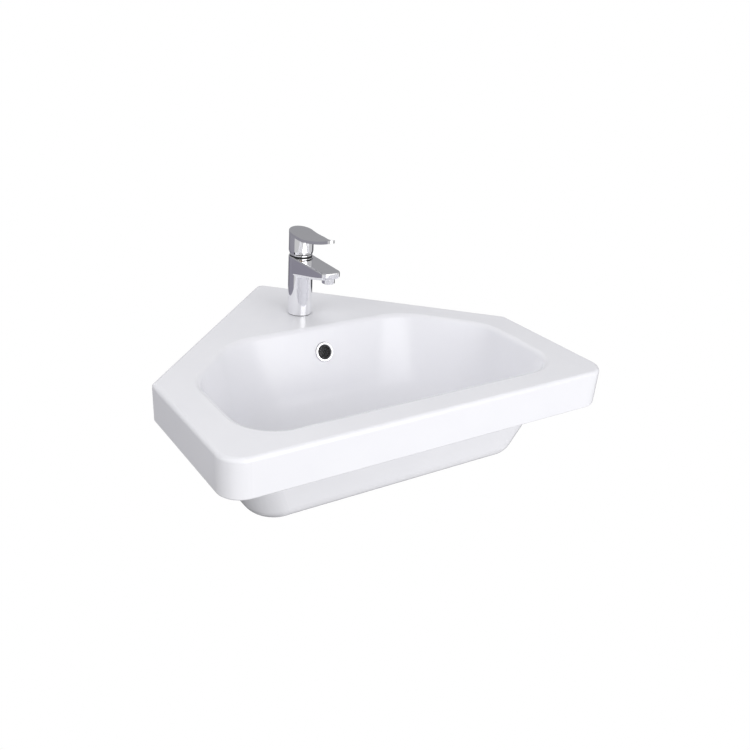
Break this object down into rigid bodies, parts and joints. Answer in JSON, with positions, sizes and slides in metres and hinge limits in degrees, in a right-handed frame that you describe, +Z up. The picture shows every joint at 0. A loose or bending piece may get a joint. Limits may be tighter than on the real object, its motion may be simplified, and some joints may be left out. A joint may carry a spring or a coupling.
{
  "type": "corner basin",
  "caption": "Five-sided white ceramic wash basin that fits a room corner, with a chrome single-lever mixer tap, an overflow and a press-to-close waste.",
  "frame": {"origin": "the corner where the two room walls meet, level with the flat top of the basin", "axes": "+Z up, -Y out of the corner towards the user, +X to the user's right along the long front edge"},
  "size_m": [0.5996, 0.5278, 0.3482],
  "materials": {
    "white_glaze": "gloss glaze on fired clay",
    "chrome_trim": "polished plating on plastic",
    "chrome_waste": "polished plating on brass",
    "chrome_tap": "polished plating on brass",
    "bare_brass": "machined",
    "spring_steel": "plain drawn steel",
    "black_rubber": "moulded, matt",
    "grey_rubber": "moulded, matt",
    "white_nylon": "moulded, matt",
    "grey_plastic": "moulded, matt",
    "black_plastic": "moulded, matt",
    "alumina": "ground and lapped"
  },
  "bodies": {
    "basin_set": {"basin": "white_glaze", "overflow_ring": "chrome_trim", "overflow_strainer": "black_plastic", "waste_body": "chrome_waste", "waste_top_seal": "grey_rubber", "waste_lower_seal": "black_rubber", "waste_slip_washer": "white_nylon", "waste_back_nut": "bare_brass", "click_sleeve": "white_nylon", "click_spring": "spring_steel", "tap_body": "chrome_tap", "base_gasket": "black_rubber", "tap_stud": "spring_steel", "clamp_gasket": "black_rubber", "clamp_plate": "spring_steel", "clamp_nut": "bare_brass", "aerator_housing": "chrome_tap", "aerator_insert": "grey_plastic", "aerator_seal": "black_rubber", "cartridge_housing": "grey_plastic", "cartridge_base": "grey_plastic", "left_inlet_seal": "black_rubber", "right_inlet_seal": "black_rubber", "cartridge_o_ring": "black_rubber", "fixed_disc": "alumina", "lock_nut": "bare_brass", "glide_ring": "black_plastic", "neck_ring": "chrome_tap"},
    "plug": {"plug_cap": "chrome_waste", "plug_seal": "black_rubber", "plug_stem": "spring_steel"},
    "mixer_turret": {"turret": "white_nylon", "stem_pin": "spring_steel"},
    "lever": {"handle": "chrome_tap", "lever_stem": "bare_brass", "grub_screw": "spring_steel", "index_cap": "chrome_trim"},
    "disc": {"disc_carrier": "white_nylon", "moving_disc": "alumina"}
  },
  "joints": [
    {"name": "plug_lift", "type": "slide", "parent": "basin_set", "child": "plug", "axis": [0, 0, 1], "range_m": [0, 0.008], "deforming": ["click_spring"]},
    {"name": "temperature_turn", "type": "hinge", "parent": "basin_set", "child": "mixer_turret", "pos_m": [0, -0.1485, 0.092], "axis": [0, 0, 1], "range_deg": [-45, 45]},
    {"name": "flow_lift", "type": "hinge", "parent": "mixer_turret", "child": "lever", "pos_m": [0, -0.1485, 0.092], "axis": [-1, 0, 0], "range_deg": [0, 22]},
    {"name": "disc_slide", "type": "slide", "parent": "mixer_turret", "child": "disc", "axis": [0, -1, 0], "range_m": [0, 0.003]}
  ],
  "couplings": [
    {"joint": "disc_slide", "follows": "flow_lift", "m_per_rad": 0.0075}
  ]
}
